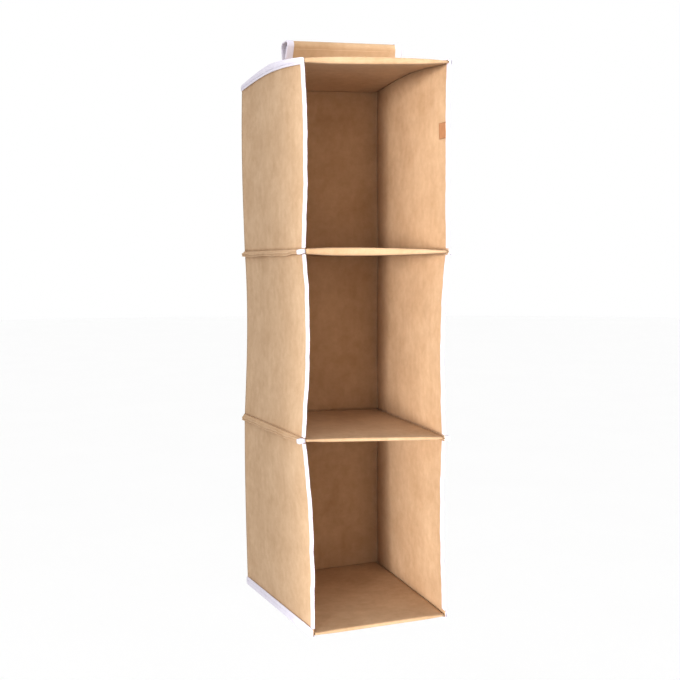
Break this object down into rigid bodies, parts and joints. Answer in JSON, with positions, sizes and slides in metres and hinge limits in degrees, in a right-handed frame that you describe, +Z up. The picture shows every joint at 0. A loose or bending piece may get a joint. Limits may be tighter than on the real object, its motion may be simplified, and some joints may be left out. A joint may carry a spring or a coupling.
{
  "type": "hanging shoe organizer",
  "caption": "Open-fronted fabric organizer with stacked shelves and a wide hook-and-loop strap that hangs on a wardrobe rod; folds flat.",
  "frame": {"origin": "on the centre line of the wardrobe rod in the hanger's loop, at mid-width", "axes": "+Z up, +Y towards the back wall, so the open front faces -Y, +X to the right seen from the front"},
  "size_m": [0.2786, 0.316, 0.9728],
  "materials": {
    "fabric": "tan non-woven cloth, matt, with a fine mottled fibre pattern",
    "binding": "white woven binding tape, folded over the edge and stitched",
    "board": "plain greyboard, cut edges",
    "hook_tape": "beige hook tape, stiff hooks in rows",
    "loop_tape": "beige loop tape, brushed",
    "care_label": "blank satin label"
  },
  "bodies": {
    "top": {"hanger_rear_strap": "fabric", "hanger_front_strap": "fabric", "loop_tape": "loop_tape", "rear_strap_left_binding": "binding", "rear_strap_right_binding": "binding", "front_strap_left_binding": "binding", "front_strap_right_binding": "binding", "top_cover": "fabric", "top_front_board": "board", "top_rear_board": "board", "top_left_binding": "binding", "top_right_binding": "binding", "top_back_binding": "binding", "bay_1_left_wall": "fabric", "bay_1_right_wall": "fabric", "bay_1_back_wall": "fabric", "bay_1_left_binding": "binding", "bay_1_right_binding": "binding", "care_label": "care_label"},
    "hanger_flap": {"hanger_flap": "fabric", "hook_tape": "hook_tape", "flap_left_binding": "binding", "flap_right_binding": "binding"},
    "shelf_1": {"shelf_1_cover": "fabric", "shelf_1_board": "board", "shelf_1_left_seam": "fabric", "shelf_1_right_seam": "fabric", "shelf_1_back_seam": "fabric", "shelf_1_left_tab": "binding", "shelf_1_right_tab": "binding", "bay_2_left_wall": "fabric", "bay_2_right_wall": "fabric", "bay_2_back_wall": "fabric", "bay_2_left_binding": "binding", "bay_2_right_binding": "binding"},
    "shelf_2": {"shelf_2_cover": "fabric", "shelf_2_board": "board", "shelf_2_left_seam": "fabric", "shelf_2_right_seam": "fabric", "shelf_2_back_seam": "fabric", "shelf_2_left_tab": "binding", "shelf_2_right_tab": "binding", "bay_3_left_wall": "fabric", "bay_3_right_wall": "fabric", "bay_3_back_wall": "fabric", "bay_3_left_binding": "binding", "bay_3_right_binding": "binding"},
    "bottom": {"bottom_cover": "fabric", "bottom_board": "board", "bottom_left_binding": "binding", "bottom_right_binding": "binding", "bottom_back_binding": "binding"}
  },
  "joints": [
    {"name": "flap_peel", "type": "hinge", "parent": "top", "child": "hanger_flap", "pos_m": [0, 0.0085, 0.0109], "axis": [-1, 0, 0], "range_deg": [0, 170]},
    {"name": "bay_1_fold", "type": "slide", "parent": "top", "child": "shelf_1", "axis": [0, 0, 1], "range_m": [0, 0.28], "deforming": ["bay_1_left_wall", "bay_1_right_wall", "bay_1_back_wall", "bay_1_left_binding", "bay_1_right_binding", "care_label"]},
    {"name": "bay_2_fold", "type": "slide", "parent": "shelf_1", "child": "shelf_2", "axis": [0, 0, 1], "range_m": [0, 0.28], "deforming": ["bay_2_left_wall", "bay_2_right_wall", "bay_2_back_wall", "bay_2_left_binding", "bay_2_right_binding"]},
    {"name": "bay_3_fold", "type": "slide", "parent": "shelf_2", "child": "bottom", "axis": [0, 0, 1], "range_m": [0, 0.28], "deforming": ["bay_3_left_wall", "bay_3_right_wall", "bay_3_back_wall", "bay_3_left_binding", "bay_3_right_binding"]}
  ]
}
